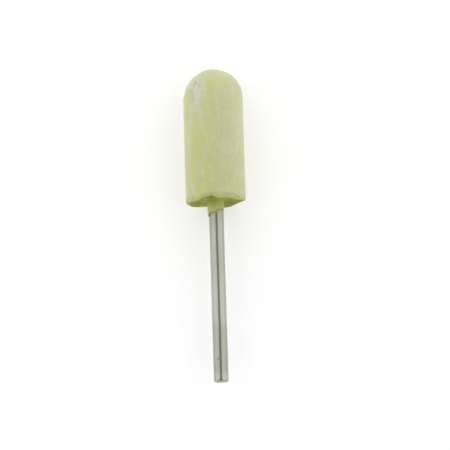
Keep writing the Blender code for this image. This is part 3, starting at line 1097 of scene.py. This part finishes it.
FILM_SHARE = 0.8
GRIME_TOWARDS_HEAD = (24.0, 26.9, 0.0, 0.45)
GRIME_STRIPES = {"stripes": 0.8, "level": 0.6}
STEEL_ROUGHNESS = {"rings": 0.12, "scratch": 0.06, "film": 0.4, "end face": 0.25, "level": 0.17}
STEEL_BUMP = {"rings": 1.0, "scratch": 0.4}
STEEL_BUMP_HEIGHT = 0.002 * MM
STEEL_BUMP_STRENGTH = 0.5


def make_steel():
    material, tree, shader, point = new_material("ground_steel")
    x, y, z = split(tree, point)
    fields = {name: pattern(tree, point, **settings) for name, settings in STEEL_PATTERNS.items()}
    fields["scratch"] = fields["scratch"].ramp(*SCRATCHES)
    centred = {name: fields[name] - 0.5 for name in STEEL_TONE}
    dulled = y.ramp(*DULLED_FROM_END) - y.ramp(*DULLED_UP_TO) + y.ramp(*DULLED_TOWARDS_HEAD)
    tone = blend(centred, STEEL_TONE) + dulled
    colour = mix(tree, tone.ramp(0.0, 1.0), STEEL, STEEL_WORN)
    end_face = y.ramp(*END_FACE)
    colour = mix(tree, end_face * END_FACE_SHARE, colour, STEEL_END)
    seen_side = z.ramp(*DARK_MARKS_ON_TOP) * y.ramp(*DARK_MARKS_OFF_END_FACE)
    # Dark marks on top: smudges, a painted shadow under the collar and a painted reflection at the
    # end.
    colour = mix(tree, marks(tree, x, y, seen_side, SHANK_SMUDGES_SHADOWS_AND_REFLECTION), colour, SMUDGE_SHADOW_AND_REFLECTION)
    film_edge = y + centred["cloud"] * FILM_WAVERS - x * FILM_SLANT
    grime = film_edge.ramp(*GRIME_TOWARDS_HEAD) * blend(fields, GRIME_STRIPES)
    colour = mix(tree, grime, colour, STEEL_GRIME)
    film = film_edge.ramp(*FILM_EDGE) * x.ramp(*FILM_ON_LEFT).most(x.ramp(*FILM_ON_RIGHT))
    colour = mix(tree, film * FILM_SHARE, colour, RUBBER_FILM)
    plug(tree, colour, shader.inputs["Base Color"])
    plug(tree, film * -FILM_SHARE + 1.0, shader.inputs["Metallic"])
    parts = {**fields, "rings": centred["rings"], "film": film, "end face": end_face}
    plug(tree, blend(parts, STEEL_ROUGHNESS), shader.inputs["Roughness"])
    normal = bump(tree, blend(fields, STEEL_BUMP), STEEL_BUMP_HEIGHT, STEEL_BUMP_STRENGTH)
    plug(tree, normal, shader.inputs["Normal"])
    return material


steel = make_steel()
print(f"{steel.name}: {len(steel.node_tree.nodes)} nodes")

# %% [markdown]
# ## The shank itself
# It is made as the head was, from an outline, the turning tree and a plain mesh that stands for
# the frame's own rod. The steps round it are fine for the sake of the reflections.

# %% Make the shank
SHANK_SEGMENTS = 128

shank = outline_object("ground_shank", shank_outline())
add_tree(shank, turning_tree, {"Segments": float(SHANK_SEGMENTS), "Material": steel})
plain_mesh(shank)
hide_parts("steel_shank")
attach(shank, "root")

# %% [markdown]
# ## The table
# The tool lies on a white table, and its shadow is so soft that it nearly isn't there. One square
# is enough. It glows a little besides being lit, so it comes out white and keeps only a little of
# the shadow.

# %% Make the table
TABLE_SIZE = 3.0
TABLE_GLOW = 0.37
TABLE_GREY = 0.70


def make_table():
    material = bpy.data.materials.new("white_table")
    material.use_nodes = True
    tree = material.node_tree
    tree.nodes.remove(tree.nodes["Principled BSDF"])
    shaded = add_node(tree, "ShaderNodeBsdfDiffuse", {"Color": (TABLE_GREY,) * 3 + (1,)})
    glow = add_node(tree, "ShaderNodeEmission", {"Strength": TABLE_GLOW})
    white = add_node(tree, "ShaderNodeAddShader", {0: shaded.outputs[0], 1: glow.outputs[0]})
    tree.links.new(white.outputs[0], tree.nodes["Material Output"].inputs[0])
    half = TABLE_SIZE / 2
    corners = [(-half, -half), (half, -half), (half, half), (-half, half)]
    mesh = bpy.data.meshes.new("table")
    mesh.from_pydata([(x, y, head_low.z) for x, y in corners], [], [(0, 1, 2, 3)])
    mesh.materials.append(material)
    obj = bpy.data.objects.new("table", mesh)
    bpy.context.scene.collection.objects.link(obj)
    return obj


table = make_table()
print(f"{table.name}: {TABLE_SIZE:.0f} m square, {-head_low.z / MM:.1f} mm below the axis")

# %% [markdown]
# ## The light
# The photograph was taken in a light tent: white cloth all round, and a dark gap overhead where
# the camera looks in. Nearly all the light is the tent itself, so it is made as the world, with
# no lamps. The cloth is a little brighter at both sides, and it is dimmer in front, where the
# photographer stands. The gap matters twice: it darkens what faces straight up, so the head is
# brighter towards its sides, and it is the dark line that runs down the middle of the shank. To
# the camera the tent is simply white.

# %% Make the light tent
TENT_LIGHT = 1.101
SIDE_LIGHT = 0.15
SIDES_FROM = (0.2, 0.8)
BRIGHTER_TO_THE_RIGHT = (-0.6, 0.6, -0.010, 0.016)
CAMERA_HOLE = 0.66
HOLE_HALF_WIDTH = 0.265
HOLE_HALF_LENGTH = 0.62
HOLE_EDGE = (0.75, 1.3, -CAMERA_HOLE, 0.0)
ABOVE_TABLE = (0.0, 0.1)
FRONT_OPENING = 0.5
FRONT_FROM = (0.45, 0.8)


def make_tent():
    world = bpy.data.worlds.new("light_tent")
    bpy.context.scene.world = world
    world.use_nodes = True
    tree = world.node_tree
    direction = tree.nodes.new("ShaderNodeTexCoord").outputs["Generated"]
    x, y, z = split(tree, direction)
    across, along = x / HOLE_HALF_WIDTH, y / HOLE_HALF_LENGTH
    hole = (across * across + along * along).ramp(*HOLE_EDGE) * z.ramp(*ABOVE_TABLE) + 1.0
    opening = (y * -1.0).ramp(*FRONT_FROM) * -FRONT_OPENING + 1.0
    sides = x.math("ABSOLUTE").ramp(*SIDES_FROM) * SIDE_LIGHT + x.ramp(*BRIGHTER_TO_THE_RIGHT)
    strength = (sides + TENT_LIGHT) * hole * opening
    path = tree.nodes.new("ShaderNodeLightPath").outputs
    to_camera = Field(tree, path["Is Camera Ray"])
    strength = strength * (to_camera * -1.0 + 1.0) + to_camera
    plug(tree, strength, tree.nodes["Background"].inputs["Strength"])
    tree.nodes["Background"].inputs["Color"].default_value = (1, 1, 1, 1)


make_tent()
bpy.context.scene.view_settings.view_transform = "Standard"
print("Lit by the tent")
